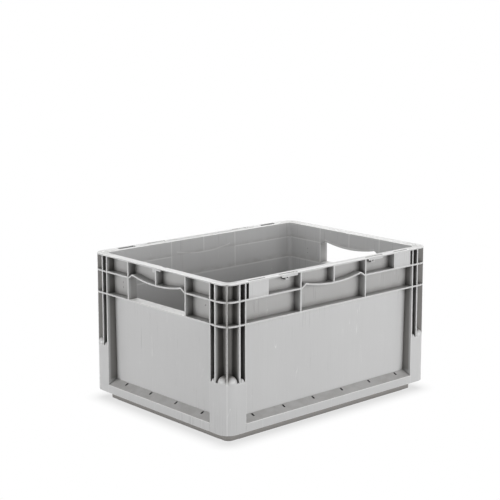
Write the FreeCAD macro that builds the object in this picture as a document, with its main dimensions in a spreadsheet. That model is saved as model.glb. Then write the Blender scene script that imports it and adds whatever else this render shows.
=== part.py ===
"""Rigid stacking crate, 400 x 300 x 220 mm, moulded in one piece.

The long sides face -Y (front) and +Y (back), the short sides face -X (left) and +X (right), and +Z is up.
The origin is the middle of the foot, on the surface that the crate stands on. All sizes are millimetres.

A thin tapered tub carries everything. Outside it stand four ribbed corner posts, a band of ribs under a flat
rim, an open handle in each short side, a closed grip in each long side, and a sloping drained ledge that ends
in a short skirt. The foot below the skirt is the end of the tub itself, and drops into the rim of a crate below.
The one moulding is divided along these features, and every division lies face to face.
"""

import FreeCAD, Part
import math
import os

import Sketcher

doc = FreeCAD.newDocument("StackingCrate")

# ---------------------------------------------------------------- driving dimensions
DIMENSIONS = [
    ("crate_length", 400.0, "outside, along X"),
    ("crate_width", 300.0, "outside, along Y"),
    ("crate_height", 220.0, "foot to rim top"),
    ("corner_radius", 17.5, "outside corners of rim, ribs, posts and skirt"),
    ("wall", 2.5, "tub, rim, skirt and post skin"),
    ("wall_inset_top", 12.5, "outside face of the tub at the rim"),
    ("foot_inset", 15.7, "outside face of the tub at the foot"),
    ("tub_radius", 9.0, "outside corners of the tub"),
    ("floor_bottom", 3.5, "underside of the floor above the foot"),
    ("floor_thickness", 2.5, ""),
    ("lattice_lift", 0.8, "underside ribs stop short of the foot by this"),
    ("lattice_rib", 2.0, "underside rib thickness"),
    ("lattice_columns", 7.0, "underside ribs across the length"),
    ("lattice_rows", 5.0, "underside ribs across the width"),
    ("rim_width", 15.0, "outside face to inner edge"),
    ("rim_thickness", 2.1, ""),
    ("rim_band", 7.5, "width of the raised outer band of the rim"),
    ("rim_step", 0.8, "drop from the outer band to the inner one"),
    ("rib", 2.2, "every outside rib"),
    ("lower_rib_drop", 58.8, "rim top to the underside of the lower band rib"),
    ("upper_rib_drop", 25.8, "rim top to the underside of the upper band rib"),
    ("post_reach", 35.2, "outside corner to the inner face of a post"),
    ("post_rib_reach", 23.7, "outside corner to the middle of a post's inner rib"),
    ("post_top", 84.5, "shoulder of a post's closed foot"),
    ("post_round", 2.0, "rounding of that shoulder"),
    ("dome_radius", 9.3, "domes that close the pockets above the foot"),
    ("dome_reach", 14.4, "outside corner to the middle of a dome, along its side"),
    ("vent_radius", 1.1, "vent holes in the domes"),
    ("vent_back", 2.4, "vent behind the middle of its dome"),
    ("skirt_base", 13.5, "lower edge of the skirt, the depth that crates nest"),
    ("ledge_front", 25.5, "ledge height at the outside face"),
    ("ledge_rise", 7.0, "rise of the ledge towards the tub"),
    ("drain_pitch", 57.3, "between drain slots"),
    ("drain_width", 2.6, "along the wall"),
    ("drain_length", 4.8, "across the ledge"),
    ("drain_inset", 11.3, "outside face to the middle of a drain slot"),
    ("grip_half", 64.3, "middle of the crate to the middle of a grip's side rib"),
    ("grip_peak", 54.0, "middle of the crate to a peak of the grip curve"),
    ("grip_rise", 2.7, "peak of the grip curve above the upper band rib"),
    ("grip_sag", 6.1, "middle of the grip curve below its peaks"),
    ("grip_peak_radius", 6.0, "rounding of a peak"),
    ("pad_start", 124.8, "middle of the crate to the inner end of a label pad"),
    ("pad_end", 160.0, "middle of the crate to the outer end of a label pad"),
    ("pad_slot", 6.0, "width of the slot in the rim over a label pad"),
    ("hinge_reach", 85.0, "middle of the crate to a lid hinge seat"),
    ("hinge_length", 34.0, "length of a lid hinge seat"),
    ("hinge_seat", 6.0, "width of a lid hinge seat"),
    ("hinge_depth", 1.2, "depth of a lid hinge seat"),
    ("hinge_slot", 5.0, "length of each slot in a hinge seat"),
    ("hinge_lip_drop", 2.4, "height of the lip that hangs under a hinge seat"),
    ("hinge_boss", 7.0, "width and depth of the boss behind that lip"),
    ("hinge_pin_radius", 1.7, "pin socket in the boss"),
    ("hinge_pin_drop", 6.2, "pin socket below the rim top"),
    ("latch_length", 10.0, "latch notch in the rim of a short side"),
    ("latch_lug", 6.0, "length of the lug beside a short side's middle rib"),
    ("latch_lug_drop", 5.0, "height of that lug under the rim"),
    ("latch_tab", 9.0, "length of the tab on the other side of that rib"),
    ("latch_tab_drop", 2.0, "height of that tab under the rim"),
    ("rivet_radius", 0.8, "small holes in the end walls"),
    ("rivet_reach", 92.5, "middle of the crate to the small holes"),
    ("rivet_drop", 45.3, "rim top to the lower small hole"),
    ("rivet_gap", 7.2, "between the two small holes"),
]

sheet = doc.addObject("Spreadsheet::Sheet", "dims")
for row, (alias, value, note) in enumerate(DIMENSIONS, start=1):
    sheet.set(f"A{row}", alias)
    sheet.set(f"B{row}", str(value))
    sheet.set(f"C{row}", note)
    sheet.setAlias(f"B{row}", alias)
doc.recompute()

OVERRUN = 5.0  # how far a cutting tool runs past what it cuts
HALF_X = "dims.crate_length / 2"
HALF_Y = "dims.crate_width / 2"
RIM_BASE = "(dims.crate_height - dims.rim_thickness)"
LOWER_BASE = "(dims.crate_height - dims.lower_rib_drop)"
UPPER_BASE = "(dims.crate_height - dims.upper_rib_drop)"


def size(alias):
    """The value of a driving dimension, for the few shapes that part functions make."""
    return float(sheet.get(alias))


def bind(item, **expressions):
    """Ties properties of a document object to expressions; two underscores stand for a dot."""
    for name, text in expressions.items():
        item.setExpression(name.replace("__", "."), text)
    return item


# ---------------------------------------------------------------- building blocks
def span_box(name, x, y, z):
    """A box between pairs of expressions, such as x=(low, high)."""
    block = doc.addObject("Part::Box", name)
    bind(block, Placement__Base__x=x[0], Placement__Base__y=y[0], Placement__Base__z=z[0])
    bind(block, Length=f"({x[1]}) - ({x[0]})", Width=f"({y[1]}) - ({y[0]})", Height=f"({z[1]}) - ({z[0]})")
    return block


def rounded_outline(name, inset, radius, height):
    """A sketch at a height: the crate's outline drawn in by an inset, with rounded corners."""
    outline = doc.addObject("Sketcher::SketchObject", name)
    half_x, half_y, turn = size("crate_length") / 2 - 20.0, size("crate_width") / 2 - 20.0, 10.0
    corners = [(1, 1), (-1, 1), (-1, -1), (1, -1)]
    arcs = []
    for index, (side_x, side_y) in enumerate(corners):
        centre = FreeCAD.Vector(side_x * (half_x - turn), side_y * (half_y - turn), 0)
        circle = Part.Circle(centre, FreeCAD.Vector(0, 0, 1), turn)
        start = index * math.pi / 2
        arcs.append(outline.addGeometry(Part.ArcOfCircle(circle, start, start + math.pi / 2)))
    lines = []
    for index in range(4):
        first = outline.getPoint(arcs[index], 2)
        second = outline.getPoint(arcs[(index + 1) % 4], 1)
        lines.append(outline.addGeometry(Part.LineSegment(first, second)))
    for index in range(4):
        following = (index + 1) % 4
        outline.addConstraint(Sketcher.Constraint("Tangent", arcs[index], 2, lines[index], 1))
        outline.addConstraint(Sketcher.Constraint("Tangent", lines[index], 2, arcs[following], 1))
        outline.addConstraint(Sketcher.Constraint("Vertical" if index % 2 else "Horizontal", lines[index]))
    for index in range(1, 4):
        outline.addConstraint(Sketcher.Constraint("Equal", arcs[0], arcs[index]))
    outline.addConstraint(Sketcher.Constraint("Symmetric", arcs[0], 3, arcs[2], 3, -1, 1))
    reach_x = outline.addConstraint(Sketcher.Constraint("DistanceX", -1, 1, arcs[0], 3, half_x - turn))
    reach_y = outline.addConstraint(Sketcher.Constraint("DistanceY", -1, 1, arcs[0], 3, half_y - turn))
    round_of = outline.addConstraint(Sketcher.Constraint("Radius", arcs[0], turn))
    outline.setExpression(f"Constraints[{round_of}]", radius)
    outline.setExpression(f"Constraints[{reach_x}]", f"{HALF_X} - ({inset}) - ({radius})")
    outline.setExpression(f"Constraints[{reach_y}]", f"{HALF_Y} - ({inset}) - ({radius})")
    bind(outline, Placement__Base__z=height)
    return outline


def rounded_block(name, inset, radius, low, high):
    """A block with rounded upright corners between two heights."""
    block = doc.addObject("Part::Extrusion", name)
    block.Base = rounded_outline(name + "_outline", inset, radius, low)
    block.DirMode = "Custom"
    block.Dir = FreeCAD.Vector(0, 0, 1)
    block.Solid = True
    return bind(block, LengthFwd=f"({high}) - ({low})")


def rounded_edges(name, base, radius, chosen):
    """The base with a fillet on every edge whose bounding box is chosen."""
    doc.recompute()
    result = doc.addObject("Part::Fillet", name)
    result.Base = base
    edges = enumerate(base.Shape.Edges, start=1)
    result.Edges = [(index, radius, radius) for index, edge in edges if chosen(edge.BoundBox)]
    return result


def tapered_block(name, inset_top, inset_bottom, radius):
    """A block from the foot to the rim top with four sloping sides and rounded upright corners."""
    wedge = doc.addObject("Part::Wedge", name + "_wedge")
    # a wedge tapers along its own Y, so it is stood up
    wedge.Placement.Rotation = FreeCAD.Rotation(FreeCAD.Vector(1, 0, 0), 90)
    bind(
        wedge,
        Ymin="0",
        Ymax="dims.crate_height",
        Xmin=f"({inset_bottom}) - {HALF_X}",
        Xmax=f"{HALF_X} - ({inset_bottom})",
        Zmin=f"({inset_bottom}) - {HALF_Y}",
        Zmax=f"{HALF_Y} - ({inset_bottom})",
        X2min=f"({inset_top}) - {HALF_X}",
        X2max=f"{HALF_X} - ({inset_top})",
        Z2min=f"({inset_top}) - {HALF_Y}",
        Z2max=f"{HALF_Y} - ({inset_top})",
    )
    height = size("crate_height")
    return rounded_edges(name, wedge, radius, lambda box: box.ZLength > height - 1)


def cut(name, base, *tools):
    """The base without the tools."""
    tool = tools[0] if len(tools) == 1 else fuse(name + "_tools", *tools)
    result = doc.addObject("Part::Cut", name)
    result.Base = base
    result.Tool = tool
    result.Refine = True
    return result


def fuse(name, *items):
    """The items as one shape."""
    result = doc.addObject("Part::MultiFuse", name)
    result.Shapes = list(items)
    result.Refine = True
    return result


def common(name, first, second):
    """What two shapes share."""
    result = doc.addObject("Part::MultiCommon", name)
    result.Shapes = [first, second]
    result.Refine = True
    return result


def group(name, *items):
    """Separate solids kept together under one name."""
    result = doc.addObject("Part::Compound", name)
    result.Links = list(items)
    return result


def mirror(name, source, normal):
    """The source reflected through the crate's middle plane with that normal."""
    result = doc.addObject("Part::Mirroring", name)
    result.Source = source
    result.Normal = FreeCAD.Vector(*normal)
    return result


def upright_cylinder(name, x, y, radius, low, high):
    """A cylinder that stands along Z."""
    pin = doc.addObject("Part::Cylinder", name)
    bind(pin, Placement__Base__x=x, Placement__Base__y=y, Placement__Base__z=low)
    return bind(pin, Radius=radius, Height=f"({high}) - ({low})")


def level_cylinder(name, along, x, y, z, radius, length):
    """A cylinder that lies along +X or +Y from a starting point."""
    pin = doc.addObject("Part::Cylinder", name)
    turn = FreeCAD.Rotation(FreeCAD.Vector(0, 0, 1), FreeCAD.Vector(*along))
    pin.Placement = FreeCAD.Placement(FreeCAD.Vector(0, 0, 0), turn)
    bind(pin, Placement__Base__x=x, Placement__Base__y=y, Placement__Base__z=z)
    return bind(pin, Radius=radius, Height=length)


X_AXIS, Y_AXIS = (1, 0, 0), (0, 1, 0)

# ---------------------------------------------------------------- the tub that everything stands on
tub_outer = tapered_block("tub_outer", "dims.wall_inset_top", "dims.foot_inset", size("tub_radius"))
tub_inner = tapered_block(
    "tub_inner",
    "dims.wall_inset_top + dims.wall",
    "dims.foot_inset + dims.wall",
    size("tub_radius") - size("wall"),
)
tub_shell = cut("tub_shell", tub_outer, tub_inner)

FLOOR_TOP = "(dims.floor_bottom + dims.floor_thickness)"
floor_slab = span_box(
    "floor_slab", (f"-{HALF_X}", HALF_X), (f"-{HALF_Y}", HALF_Y), ("dims.floor_bottom", FLOOR_TOP)
)
floor_panel = common("floor_panel", tub_inner, floor_slab)

POST_X = f"({HALF_X} - dims.post_reach)"
POST_Y = f"({HALF_Y} - dims.post_reach)"
GRIP_EDGE = "(dims.grip_half + dims.rib / 2)"
LOWER_TOP = f"({LOWER_BASE} + dims.rib)"
UPPER_TOP = f"({UPPER_BASE} + dims.rib)"


def underside_ribs():
    """The lattice under the floor, inside the foot."""
    bars = []
    low = "dims.lattice_lift"
    for name, count, half, other in (
        ("column", "lattice_columns", HALF_X, HALF_Y),
        ("row", "lattice_rows", HALF_Y, HALF_X),
    ):
        for index in range(int(size(count))):
            middle = f"{half} * (2 * {index + 1} / (dims.{count} + 1) - 1)"
            across = (f"{middle} - dims.lattice_rib / 2", f"{middle} + dims.lattice_rib / 2")
            along = (f"-{other}", other)
            spans = (across, along) if name == "column" else (along, across)
            bars.append(span_box(f"lattice_{name}_{index}", *spans, (low, "dims.floor_bottom")))
    return common("underside_ribs", fuse("lattice_bars", *bars), tub_inner)


# ---------------------------------------------------------------- the grip curve
def grip_curve(lift):
    """Edges of the grip curve from its left foot to its right one, and its end points, raised by a lift.

    A slanted end climbs from the upper band rib to a rounded peak, and a long sagging arc joins the peaks.
    """
    foot_x = size("grip_half") - size("rib") / 2
    foot_z = size("crate_height") - size("upper_rib_drop") + lift
    peak_x, peak_z = size("grip_peak"), foot_z + size("grip_rise") + size("rib")
    low_z = peak_z - size("grip_sag")
    blend = size("grip_peak_radius")

    def at(x, z):
        return FreeCAD.Vector(x, 0, z)

    slope_end = at(-peak_x - blend * 0.6, peak_z - blend * 0.28)
    arc_start = at(-peak_x + blend * 0.6, peak_z - blend * 0.12)
    edges = [
        Part.LineSegment(at(-foot_x, foot_z), slope_end).toShape(),
        Part.Arc(slope_end, at(-peak_x - blend * 0.08, peak_z), arc_start).toShape(),
        Part.Arc(arc_start, at(0, low_z), at(-arc_start.x, arc_start.z)).toShape(),
        Part.Arc(at(-arc_start.x, arc_start.z), at(peak_x + blend * 0.08, peak_z), at(-slope_end.x, slope_end.z)).toShape(),
        Part.LineSegment(at(-slope_end.x, slope_end.z), at(foot_x, foot_z)).toShape(),
    ]
    return edges, at(-foot_x, foot_z), at(foot_x, foot_z)


def curved_prism(name, lift, far_z, start, reach, along_x=False):
    """A prism between the grip curve and a level line at far_z, pushed along Y, or along X when turned."""
    edges, left, right = grip_curve(lift)
    corner_left = FreeCAD.Vector(left.x, 0, far_z)
    corner_right = FreeCAD.Vector(right.x, 0, far_z)
    edges += [
        Part.LineSegment(right, corner_right).toShape(),
        Part.LineSegment(corner_right, corner_left).toShape(),
        Part.LineSegment(corner_left, left).toShape(),
    ]
    outline = Part.Wire(Part.__sortEdges__(edges))
    solid = Part.Face(outline).extrude(FreeCAD.Vector(0, reach, 0))
    solid.translate(FreeCAD.Vector(0, start, 0))
    if along_x:
        solid.rotate(FreeCAD.Vector(0, 0, 0), FreeCAD.Vector(0, 0, 1), -90)
    prism = doc.addObject("Part::Feature", name)
    prism.Shape = solid
    return prism


def grip_cutters(side, half_span, along_x):
    """The space under the grip curve and the two cells over it, as cutting tools for one side."""
    start = -half_span - OVERRUN
    reach = size("rim_width") + 2 * OVERRUN
    low = size("crate_height") - size("lower_rib_drop") + size("rib")
    under = curved_prism(f"{side}_finger_space", 0.0, low, start, reach, along_x)
    top = size("crate_height") - size("rim_thickness")
    over = curved_prism(f"{side}_upper_cells", size("rib"), top, start, reach, along_x)
    return under, over


def grip(side, name, along_x):
    """A grip or handle: two side ribs, the curved rib between them and the middle rib over it."""
    half_span = size("crate_length" if along_x else "crate_width") / 2
    under, over = grip_cutters(side, half_span, along_x)
    outer = HALF_X if along_x else HALF_Y
    depth = (f"-{outer}", f"-{outer} + dims.rim_width + {OVERRUN}")
    width = (f"-{GRIP_EDGE}", GRIP_EDGE)
    middle = ("-dims.rib / 2", "dims.rib / 2")
    tall = (LOWER_TOP, RIM_BASE)

    def place(along, height, label):
        spans = (depth, along) if along_x else (along, depth)
        return span_box(label, *spans, height)

    block = place(width, tall, f"{side}_grip_block")
    rib_block = place(middle, tall, f"{side}_middle_rib")
    cells = cut(f"{side}_cells", over, rib_block)
    return cut(name, block, tub_outer, under, cells), under


# ---------------------------------------------------------------- walls
def wall_region(name, side_x):
    """The space that one wall takes between its two posts, on the front or on the left."""
    tall = ("0", RIM_BASE)
    if side_x:
        return span_box(name, (f"-{HALF_X}", "0"), (f"-{POST_Y}", POST_Y), tall)
    return span_box(name, (f"-{POST_X}", POST_X), (f"-{HALF_Y}", "0"), tall)


def left_wall_solid(hand_hole):
    """A short wall, with its hand hole and three small rivet holes."""
    panel = common("left_panel", tub_shell, wall_region("left_region", True))
    holes = [hand_hole]
    low = "dims.crate_height - dims.rivet_drop"
    high = f"{low} + dims.rivet_gap"
    for index, (sign, height) in enumerate((("", low), ("", high), ("-", high))):
        holes.append(
            level_cylinder(
                f"rivet_hole_{index}",
                X_AXIS,
                f"-{HALF_X}",
                f"{sign}dims.rivet_reach",
                height,
                "dims.rivet_radius",
                f"dims.rim_width + {OVERRUN}",
            )
        )
    return cut("left_end_wall", panel, *holes)


# ---------------------------------------------------------------- corner posts
def diagonal_mirror(name, source):
    """The source reflected through the upright plane that halves the back right corner."""
    result = mirror(name, source, (1, -1, 0))
    return bind(result, Base__x=HALF_X, Base__y=HALF_Y)


def pocket_caps():
    """The domes and arched caps over the foot for the back half of a corner, and their vent."""
    dome = doc.addObject("Part::Sphere", "dome")
    bind(
        dome,
        Radius="dims.dome_radius",
        Placement__Base__x=f"{HALF_X} - dims.dome_reach",
        Placement__Base__y=f"{HALF_Y} - dims.dome_radius",
        Placement__Base__z="dims.post_top",
    )
    slot_far = "(dims.post_reach - dims.rib)"
    slot_near = "(dims.post_rib_reach + dims.rib / 2)"
    slot_radius = f"(({slot_far} - {slot_near}) / 2)"
    slot_x = f"{HALF_X} - ({slot_far} + {slot_near}) / 2"
    start_y = f"{HALF_Y} - dims.rim_width - dims.wall"
    depth = f"dims.rim_width + dims.wall - {slot_radius}"
    arch = level_cylinder("slot_arch", Y_AXIS, slot_x, start_y, "dims.post_top", slot_radius, depth)
    nose = doc.addObject("Part::Sphere", "slot_nose")
    bind(
        nose,
        Radius=slot_radius,
        Placement__Base__x=slot_x,
        Placement__Base__y=f"{HALF_Y} - {slot_radius}",
        Placement__Base__z="dims.post_top",
    )
    vent = upright_cylinder(
        "vent",
        f"{HALF_X} - dims.dome_reach",
        f"{HALF_Y} - dims.dome_radius - dims.vent_back",
        "dims.vent_radius",
        "dims.skirt_base",
        f"dims.post_top + dims.dome_radius + {OVERRUN}",
    )
    return fuse("pocket_caps", dome, arch, nose), vent


def post_foot():
    """The closed lower part of all four posts, open below, with its pocket caps at the back right corner."""
    blank = rounded_block("post_blank", "0", "dims.corner_radius", "dims.skirt_base", "dims.post_top")
    top = size("post_top")
    shoulder = rounded_edges("post_shoulder", blank, size("post_round"), lambda box: box.ZMin > top - 1)
    hollow = rounded_block(
        "post_hollow",
        "dims.wall",
        "dims.corner_radius - dims.wall",
        f"dims.skirt_base - {OVERRUN}",
        "dims.post_top - dims.post_round - dims.wall",
    )
    caps, vent = pocket_caps()
    other_caps, other_vent = diagonal_mirror("other_pocket_caps", caps), diagonal_mirror("other_vent", vent)
    closed = fuse("post_closed_foot", shoulder, caps, other_caps)
    return cut("post_foot", closed, hollow, vent, other_vent)


def corner_post_solid():
    """The back right post: the tub's corner, the closed foot, and the ribs over it."""
    region = span_box("post_region", (POST_X, HALF_X), (POST_Y, HALF_Y), ("0", RIM_BASE))
    ribs = []
    tall = ("dims.post_top - dims.post_round - dims.wall", RIM_BASE)
    inner_end = "dims.rim_width + dims.tub_radius"
    reaches = {
        "outer": ("dims.post_reach", "dims.post_reach - dims.rib"),
        "inner": ("dims.post_rib_reach + dims.rib / 2", "dims.post_rib_reach - dims.rib / 2"),
    }
    for label, (far, near) in reaches.items():
        on_x = (f"{HALF_X} - ({far})", f"{HALF_X} - ({near})")
        on_y = (f"{HALF_Y} - ({far})", f"{HALF_Y} - ({near})")
        deep_x = (f"{HALF_X} - ({inner_end})", HALF_X)
        deep_y = (f"{HALF_Y} - ({inner_end})", HALF_Y)
        low = "dims.skirt_base" if label == "outer" else tall[0]
        ribs.append(span_box(f"post_rib_{label}_x", on_x, deep_y, (low, RIM_BASE)))
        ribs.append(span_box(f"post_rib_{label}_y", deep_x, on_y, (low, RIM_BASE)))
    blade = doc.addObject("Part::Box", "post_corner_rib")
    blade.Placement.Rotation = FreeCAD.Rotation(FreeCAD.Vector(0, 0, 1), 45)
    half = "dims.rib / 2 * sqrt(2) / 2"
    start = "dims.rim_width + dims.tub_radius / 2"
    bind(
        blade,
        Placement__Base__x=f"{HALF_X} - ({start}) + {half}",
        Placement__Base__y=f"{HALF_Y} - ({start}) - {half}",
        Placement__Base__z=tall[0],
        Length="dims.rim_width * 2",
        Width="dims.rib",
        Height=f"({tall[1]}) - ({tall[0]})",
    )
    ribs.append(blade)
    for label, base in (("lower", LOWER_BASE), ("upper", UPPER_BASE)):
        ribs.append(
            span_box(f"post_level_{label}", (POST_X, HALF_X), (POST_Y, HALF_Y), (base, f"{base} + dims.rib"))
        )
    rib_limit = rounded_block("rib_limit", "0", "dims.corner_radius", "dims.skirt_base", RIM_BASE)
    clipped = common("post_ribs", fuse("post_rib_set", *ribs), rib_limit)
    outside = cut("post_outside", fuse("post_rough", clipped, post_foot()), tub_outer)
    return common("corner_post_back_right", fuse("post_with_tub", outside, tub_shell), region)


# ---------------------------------------------------------------- rim
def latch_lugs(cuts, above):
    """The lug and the tab under the rim at the middle of each short side; adds the notches over them to cuts."""
    lugs = []
    middle = "dims.rib / 2"
    pieces = {
        "lug": (middle, f"{middle} + dims.latch_lug", "dims.latch_lug_drop"),
        "tab": (f"-({middle} + dims.latch_tab)", f"-{middle}", "dims.latch_tab_drop"),
    }
    for hand, sign in (("left", "-"), ("right", "")):

        def placed(low, high):
            return (low, high) if sign == "-" else (f"-({high})", f"-({low})")

        def outward(near, far):
            return (f"-({far})", f"-({near})") if sign == "-" else (near, far)

        for label, (low, high, drop) in pieces.items():
            deep = outward(f"{HALF_X} - dims.wall", HALF_X)
            tall = (f"{RIM_BASE} - {drop}", RIM_BASE)
            lugs.append(span_box(f"latch_{label}_{hand}", deep, placed(low, high), tall))
        notch_x = outward(f"{HALF_X} - dims.rim_width - 1", f"{HALF_X} - dims.rim_band - dims.rim_step")
        notch_y = placed("dims.latch_lug / 2 - dims.latch_length", "dims.latch_lug / 2")
        notch_z = (f"{RIM_BASE} + dims.rim_thickness / 3", above)
        cuts.append(span_box(f"latch_notch_{hand}", notch_x, notch_y, notch_z))
    return lugs


def hinge_lips():
    """The lip and the socketed boss under each hinge seat, on both long sides."""
    made = []
    lip_half = "dims.hinge_length / 2 - dims.hinge_depth * 2"
    lip_x = (f"dims.hinge_reach - ({lip_half})", f"dims.hinge_reach + ({lip_half})")
    lip_y = (f"{HALF_Y} - dims.wall", HALF_Y)
    lip = span_box("hinge_lip", lip_x, lip_y, (f"{RIM_BASE} - dims.hinge_lip_drop", RIM_BASE))
    boss_x = ("dims.hinge_reach - dims.hinge_boss / 2", "dims.hinge_reach + dims.hinge_boss / 2")
    boss_y = (f"{HALF_Y} - dims.rim_width", f"{HALF_Y} - dims.rim_width + dims.wall + dims.hinge_boss")
    boss_z = ("dims.crate_height - dims.hinge_pin_drop - dims.hinge_boss / 2", RIM_BASE)
    block = span_box("hinge_boss_block", boss_x, boss_y, boss_z)
    socket = level_cylinder(
        "hinge_pin_socket",
        Y_AXIS,
        "dims.hinge_reach",
        f"{HALF_Y} - dims.rim_width",
        "dims.crate_height - dims.hinge_pin_drop",
        "dims.hinge_pin_radius",
        f"dims.rim_width + {OVERRUN}",
    )
    boss = cut("hinge_boss_right", block, tub_outer, socket)
    for item in (lip, boss):
        left = mirror(f"{item.Name}_left", item, X_AXIS)
        made += [item, left]
        made += [mirror(f"{item.Name}_front", item, Y_AXIS), mirror(f"{left.Name}_front", left, Y_AXIS)]
    return made


def top_rim_solid():
    """The flat rim with its raised band, label slots, hinge seats and latch notches."""
    blank = rounded_block("rim_blank", "0", "dims.corner_radius", RIM_BASE, "dims.crate_height")
    mouth = rounded_block(
        "rim_mouth",
        "dims.rim_width",
        "dims.tub_radius - dims.wall",
        f"{RIM_BASE} - {OVERRUN}",
        f"dims.crate_height + {OVERRUN}",
    )
    step = rounded_block(
        "rim_inner_band",
        "dims.rim_band",
        "dims.corner_radius - dims.rim_band",
        "dims.crate_height - dims.rim_step",
        f"dims.crate_height + {OVERRUN}",
    )
    through = (f"{RIM_BASE} - {OVERRUN}", f"dims.crate_height + {OVERRUN}")
    cuts = [mouth, step]
    for end, near in (("front", "-"), ("back", "")):
        for hand, sign in (("left", "-"), ("right", "")):
            tag = f"{end}_{hand}"

            def along(low, high):
                return (f"-({high})", f"-({low})") if sign == "-" else (low, high)

            def inward(low, high):
                first, second = f"{HALF_Y} - ({high})", f"{HALF_Y} - ({low})"
                return (f"-({second})", f"-({first})") if near == "-" else (first, second)

            slot_x = along("dims.pad_start + dims.rib", "dims.pad_end - dims.rib")
            slot_y = inward("dims.wall", "dims.wall + dims.pad_slot")
            cuts.append(span_box(f"pad_slot_{tag}", slot_x, slot_y, through))
            half = "dims.hinge_length / 2"
            seat_x = along(f"dims.hinge_reach - {half}", f"dims.hinge_reach + {half}")
            seat_y = inward("dims.wall / 2", "dims.wall / 2 + dims.hinge_seat")
            seat_z = ("dims.crate_height - dims.hinge_depth", through[1])
            cuts.append(span_box(f"hinge_seat_{tag}", seat_x, seat_y, seat_z))
            for index in range(3):
                middle = f"dims.hinge_reach + ({index} - 1) * dims.hinge_length / 3"
                hole_x = along(f"{middle} - dims.hinge_slot / 2", f"{middle} + dims.hinge_slot / 2")
                hole_y = inward("dims.wall", "dims.wall + dims.hinge_seat / 2")
                cuts.append(span_box(f"hinge_slot_{tag}_{index}", hole_x, hole_y, through))
    lugs = latch_lugs(cuts, through[1]) + hinge_lips()
    return fuse("top_rim", cut("rim_plate", blank, *cuts), *lugs)


# ---------------------------------------------------------------- band ribs and label pads
def band_ribs(name, base, gap):
    """Level ribs between the posts on all four sides, left open between -gap and gap when a gap is given."""
    spans = []
    height = (base, f"{base} + dims.rib")
    outer_y = (f"-{HALF_Y}", f"-{HALF_Y} + dims.rim_width + {OVERRUN}")
    outer_x = (f"-{HALF_X}", f"-{HALF_X} + dims.rim_width + {OVERRUN}")
    ends_x = [(f"-{POST_X}", POST_X)] if gap is None else [(f"-{POST_X}", f"-{gap}"), (gap, POST_X)]
    ends_y = [(f"-{POST_Y}", POST_Y)] if gap is None else [(f"-{POST_Y}", f"-{gap}"), (gap, POST_Y)]
    for index, ends in enumerate(ends_x):
        front = cut(f"{name}_front_{index}", span_box(f"{name}_bar_x_{index}", ends, outer_y, height), tub_outer)
        spans += [front, mirror(f"{name}_back_{index}", front, Y_AXIS)]
    for index, ends in enumerate(ends_y):
        left = cut(f"{name}_left_{index}", span_box(f"{name}_bar_y_{index}", outer_x, ends, height), tub_outer)
        spans += [left, mirror(f"{name}_right_{index}", left, X_AXIS)]
    return group(name, *spans)


def label_pad_solid():
    """The front left label pad: a flush plate on two webs, open above through the rim's slot."""
    wide = ("-dims.pad_end", "-dims.pad_start")
    deep = (f"-{HALF_Y}", f"-{HALF_Y} + dims.rim_width + {OVERRUN}")
    block = span_box("pad_block", wide, deep, (UPPER_TOP, RIM_BASE))
    pocket = span_box(
        "pad_pocket",
        ("-dims.pad_end + dims.rib", "-dims.pad_start - dims.rib"),
        (f"-{HALF_Y} + dims.wall", f"-{HALF_Y} + dims.rim_width + {OVERRUN} + 1"),
        (f"{UPPER_TOP} - 1", f"{RIM_BASE} + 1"),
    )
    return cut("label_pad_front_left", block, tub_outer, pocket)


# ---------------------------------------------------------------- ledge and skirt
def skirt_profile(name, along_x):
    """A sketch of the ledge and skirt in section, at one end of their length."""
    profile = doc.addObject("Sketcher::SketchObject", name)
    run = size("foot_inset") + OVERRUN
    rise = run * size("ledge_rise") / size("foot_inset")
    wall, base, front = size("wall"), size("skirt_base"), size("ledge_front")
    points = [(0, base), (0, front), (run, front + rise), (run, front + rise - wall), (wall, front - wall), (wall, base)]
    count = len(points)
    for index in range(count):
        first, second = points[index], points[(index + 1) % count]
        profile.addGeometry(Part.LineSegment(FreeCAD.Vector(*first, 0), FreeCAD.Vector(*second, 0)))
    for index in range(count):
        profile.addConstraint(Sketcher.Constraint("Coincident", index, 2, (index + 1) % count, 1))
    run_text = f"(dims.foot_inset + {OVERRUN})"
    rise_text = f"{run_text} * dims.ledge_rise / dims.foot_inset"
    expected = [
        ("0", "dims.skirt_base"),
        ("0", "dims.ledge_front"),
        (run_text, f"dims.ledge_front + {rise_text}"),
        (run_text, f"dims.ledge_front + {rise_text} - dims.wall"),
        ("dims.wall", "dims.ledge_front - dims.wall"),
        ("dims.wall", "dims.skirt_base"),
    ]
    for index, (text_x, text_y) in enumerate(expected):
        x, y = points[index]
        if text_x == "0":
            profile.addConstraint(Sketcher.Constraint("PointOnObject", index, 1, -2))
        else:
            held = profile.addConstraint(Sketcher.Constraint("DistanceX", -1, 1, index, 1, x))
            profile.setExpression(f"Constraints[{held}]", text_x)
        held = profile.addConstraint(Sketcher.Constraint("DistanceY", -1, 1, index, 1, y))
        profile.setExpression(f"Constraints[{held}]", text_y)
    # the sketch's x runs inward from the outside face, and its y runs up
    if along_x:
        turn = FreeCAD.Rotation(FreeCAD.Vector(0, 1, 0), FreeCAD.Vector(0, 0, 1), FreeCAD.Vector(1, 0, 0), "ZXY")
        profile.Placement = FreeCAD.Placement(FreeCAD.Vector(0, 0, 0), turn)
        bind(profile, Placement__Base__x=f"-{POST_X}", Placement__Base__y=f"-{HALF_Y}")
    else:
        turn = FreeCAD.Rotation(FreeCAD.Vector(1, 0, 0), FreeCAD.Vector(0, 0, 1), FreeCAD.Vector(0, -1, 0), "ZXY")
        profile.Placement = FreeCAD.Placement(FreeCAD.Vector(0, 0, 0), turn)
        bind(profile, Placement__Base__x=f"-{HALF_X}", Placement__Base__y=POST_Y)
    return profile


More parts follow.
